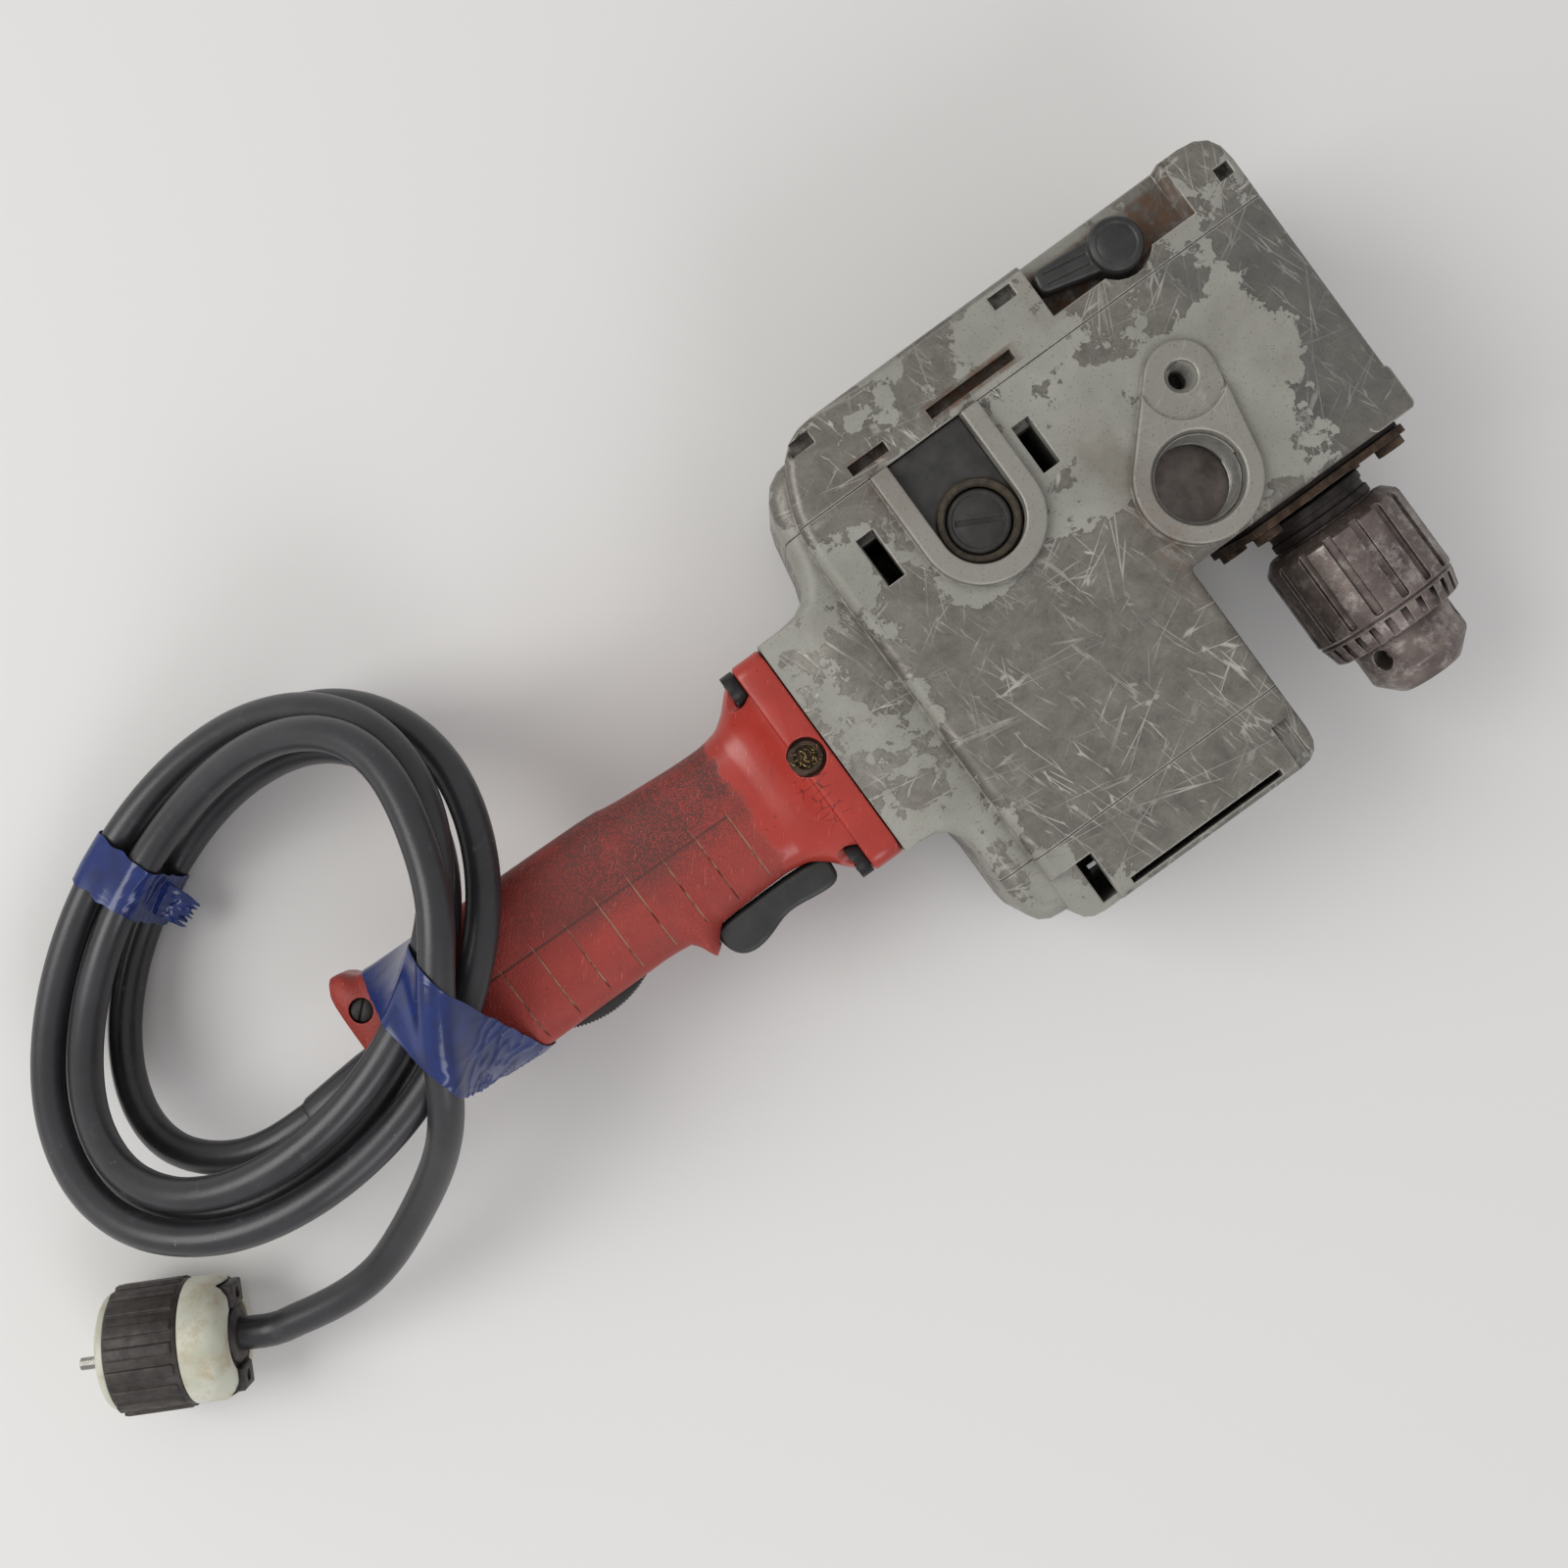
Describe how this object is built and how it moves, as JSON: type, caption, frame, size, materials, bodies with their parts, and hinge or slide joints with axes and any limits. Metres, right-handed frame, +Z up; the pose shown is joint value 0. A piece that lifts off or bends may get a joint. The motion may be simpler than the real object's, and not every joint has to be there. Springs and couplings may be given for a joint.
{
  "type": "electric drill",
  "caption": "Right-angle mains drill lying on its side: cast motor and gear housing, keyed chuck, red pistol handle, taped coil of cord with plug.",
  "frame": {"origin": "on the floor under the middle of the drill's own box, without its cord", "axes": "+X from the handle to the gear case, -Y the way the chuck points, +Z up from the side that it lies on"},
  "size_m": [0.6048, 0.2573, 0.1246],
  "materials": {
    "worn_casting": "cast aluminium with worn grey-green enamel",
    "steel": "machined",
    "dark_steel": "oiled dark steel with worn lands",
    "rusty_steel": "rusted plate",
    "red_plastic": "moulded, textured grip",
    "black_plastic": "moulded black plastic",
    "white_plastic": "nylon, soiled",
    "cord_rubber": "smooth black rubber",
    "gasket": "fibre gasket",
    "copper": "copper",
    "carbon": "carbon",
    "laminations": "stacked laminations",
    "brass": "plated brass",
    "blue_tape": "vinyl tape"
  },
  "bodies": {
    "root": {"motor_housing": "worn_casting", "back_cover": "worn_casting", "motor_end_cap": "worn_casting", "bearing_plate_gasket": "gasket", "bearing_plate": "rusty_steel", "bearing_plate_bolt_1": "dark_steel", "bearing_plate_bolt_2": "dark_steel", "bearing_plate_bolt_3": "dark_steel", "bearing_plate_bolt_4": "dark_steel", "field_core": "laminations", "field_coil_left": "copper", "field_coil_right": "copper", "armature_front_bearing": "steel", "armature_rear_bearing": "steel", "spindle_bearing": "steel", "brush_holder_upper": "black_plastic", "brush_holder_lower": "black_plastic", "brush_cap_upper": "black_plastic", "brush_cap_lower": "black_plastic", "carbon_brush_upper": "carbon", "carbon_brush_lower": "carbon", "handle_upper_half": "red_plastic", "handle_lower_half": "red_plastic", "flange_screw_1": "dark_steel", "flange_screw_2": "dark_steel", "flange_screw_3": "dark_steel", "flange_screw_4": "dark_steel", "centre_screw": "rusty_steel", "pommel_screw": "dark_steel", "switch_body": "black_plastic", "cord_protector": "cord_rubber", "cord_lead": "cord_rubber", "cord_coil": "cord_rubber", "cord_tail": "cord_rubber", "plug_shell": "black_plastic", "plug_body": "white_plastic", "plug_blade_1": "brass", "plug_blade_2": "brass", "plug_earth_pin": "brass", "coil_tape": "blue_tape", "handle_tape": "blue_tape"},
    "armature": {"armature_shaft": "steel", "armature_core": "laminations", "commutator": "copper", "cooling_fan": "black_plastic"},
    "first_shaft": {"first_reduction_cluster": "steel"},
    "second_shaft": {"second_reduction_cluster": "steel"},
    "spindle": {"spindle": "steel", "spindle_low_gear": "steel", "chuck_body": "dark_steel"},
    "high_gear": {"spindle_high_gear": "steel"},
    "shift_collar": {"shift_collar": "steel"},
    "shift_fork": {"shift_fork": "brass"},
    "shift_knob": {"shift_knob": "black_plastic"},
    "chuck_sleeve": {"chuck_sleeve": "dark_steel"},
    "jaw_1": {"chuck_jaw_1": "steel"},
    "jaw_2": {"chuck_jaw_2": "steel"},
    "jaw_3": {"chuck_jaw_3": "steel"},
    "trigger": {"trigger": "black_plastic"},
    "reversing_lever": {"reversing_lever": "black_plastic"}
  },
  "joints": [
    {"name": "armature_spin", "type": "hinge", "parent": "root", "child": "armature", "pos_m": [0.071, 0.0055, 0.056], "axis": [0, 1, 0], "continuous": true},
    {"name": "first_shaft_spin", "type": "hinge", "parent": "root", "child": "first_shaft", "pos_m": [0.104, 0.0055, 0.056], "axis": [0, 1, 0], "continuous": true},
    {"name": "second_shaft_spin", "type": "hinge", "parent": "root", "child": "second_shaft", "pos_m": [0.143, 0.0055, 0.056], "axis": [0, 1, 0], "continuous": true},
    {"name": "spindle_spin", "type": "hinge", "parent": "root", "child": "spindle", "pos_m": [0.1835, 0.0055, 0.056], "axis": [0, 1, 0], "continuous": true},
    {"name": "high_gear_spin", "type": "hinge", "parent": "root", "child": "high_gear", "pos_m": [0.1835, 0.0055, 0.056], "axis": [0, 1, 0], "continuous": true},
    {"name": "shift_knob_turn", "type": "hinge", "parent": "root", "child": "shift_knob", "pos_m": [0.1665, 0.089, 0.056], "axis": [0, 0, -1], "range_deg": [0, 135]},
    {"name": "shift_fork_slide", "type": "slide", "parent": "root", "child": "shift_fork", "axis": [0, 1, 0], "range_m": [-0.00361, 0]},
    {"name": "shift_collar_slide", "type": "slide", "parent": "spindle", "child": "shift_collar", "axis": [0, 1, 0], "range_m": [-0.00361, 0]},
    {"name": "chuck_sleeve_turn", "type": "hinge", "parent": "spindle", "child": "chuck_sleeve", "pos_m": [0.1835, 0.0055, 0.056], "axis": [0, -1, 0], "range_deg": [-1065.6, 2476.8]},
    {"name": "jaw_1_slide", "type": "slide", "parent": "spindle", "child": "jaw_1", "axis": [0.0315, -0.9659, 0.2569], "range_m": [-0.00741, 0.01721]},
    {"name": "jaw_2_slide", "type": "slide", "parent": "spindle", "child": "jaw_2", "axis": [0.2067, -0.9659, -0.1558], "range_m": [-0.00741, 0.01721]},
    {"name": "jaw_3_slide", "type": "slide", "parent": "spindle", "child": "jaw_3", "axis": [-0.2382, -0.9659, -0.1011], "range_m": [-0.00741, 0.01721]},
    {"name": "trigger_pull", "type": "hinge", "parent": "root", "child": "trigger", "pos_m": [-0.04, -0.0275, 0.056], "axis": [0, 0, -1], "range_deg": [0, 8], "stiffness_Nm_per_rad": 1.2, "springref_deg": -5.73},
    {"name": "reversing_lever_swing", "type": "hinge", "parent": "root", "child": "reversing_lever", "pos_m": [-0.137, 0.0145, 0.056], "axis": [0, 0, 1], "range_deg": [-8, 8]}
  ],
  "couplings": [
    {"joint": "first_shaft_spin", "follows": "armature_spin", "ratio": -0.22222},
    {"joint": "second_shaft_spin", "follows": "armature_spin", "ratio": 0.066667},
    {"joint": "spindle_spin", "follows": "armature_spin", "ratio": -0.02807},
    {"joint": "high_gear_spin", "follows": "armature_spin", "ratio": -0.089855},
    {"joint": "shift_fork_slide", "follows": "shift_knob_turn", "m_per_rad": -0.0015292},
    {"joint": "shift_collar_slide", "follows": "shift_knob_turn", "m_per_rad": -0.0015292},
    {"joint": "jaw_1_slide", "follows": "chuck_sleeve_turn", "m_per_rad": 0.00039789},
    {"joint": "jaw_2_slide", "follows": "chuck_sleeve_turn", "m_per_rad": 0.00039789},
    {"joint": "jaw_3_slide", "follows": "chuck_sleeve_turn", "m_per_rad": 0.00039789}
  ]
}
